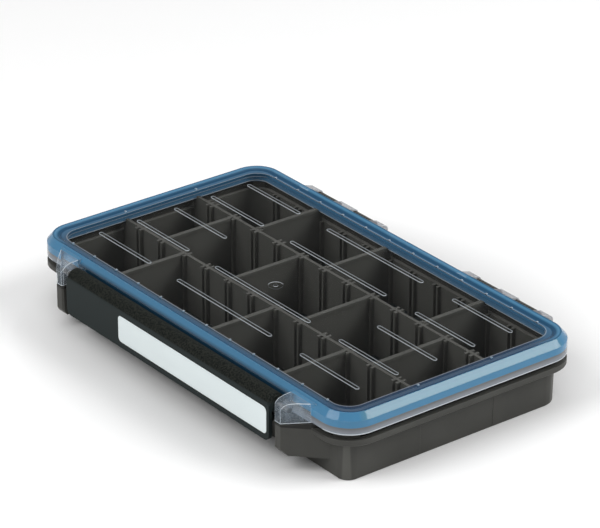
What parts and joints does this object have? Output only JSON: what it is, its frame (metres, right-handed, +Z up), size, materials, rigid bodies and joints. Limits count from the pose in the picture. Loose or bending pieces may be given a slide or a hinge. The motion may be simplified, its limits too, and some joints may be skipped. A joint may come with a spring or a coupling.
{
  "type": "fly and tackle box",
  "caption": "Flat hinged tackle box: ribbed dark tray with removable dividers, clear lid with a blue seal, and a full-width rolled front latch.",
  "frame": {"origin": "centre of the tray's footprint, on the surface that it stands on", "axes": "+X along the case's length, -Y towards the latch, +Y towards the hinge, +Z up"},
  "size_m": [0.28, 0.1825, 0.041],
  "materials": {
    "tray_plastic": "fine matt, dark grey",
    "lid_clear": "clear moulded plastic, slightly smoky",
    "seal_rubber": "soft satin, blue",
    "latch_plastic": "matt, charcoal",
    "label_plate": "satin, very pale grey",
    "pin_steel": "drawn wire"
  },
  "bodies": {
    "base": {"base_tray": "tray_plastic", "partition_front": "tray_plastic", "partition_rear": "tray_plastic", "divider_front_1": "tray_plastic", "divider_front_2": "tray_plastic", "divider_front_3": "tray_plastic", "divider_middle_1": "tray_plastic", "divider_middle_2": "tray_plastic", "divider_middle_3": "tray_plastic", "divider_middle_4": "tray_plastic", "divider_rear_1": "tray_plastic", "divider_rear_2": "tray_plastic", "divider_rear_3": "tray_plastic", "hinge_pin_left": "pin_steel", "hinge_pin_right": "pin_steel"},
    "lid": {"lid_shell": "lid_clear", "lid_gasket": "seal_rubber", "latch_pin_left": "pin_steel", "latch_pin_right": "pin_steel"},
    "latch": {"latch_bar": "latch_plastic", "latch_label": "label_plate"}
  },
  "joints": [
    {"name": "lid_hinge", "type": "hinge", "parent": "base", "child": "lid", "pos_m": [0, 0.088, 0.0311], "axis": [-1, 0, 0], "range_deg": [0, 110]},
    {"name": "latch_hinge", "type": "hinge", "parent": "lid", "child": "latch", "pos_m": [0, -0.086, 0.0335], "axis": [-1, 0, 0], "range_deg": [0, 120]}
  ]
}
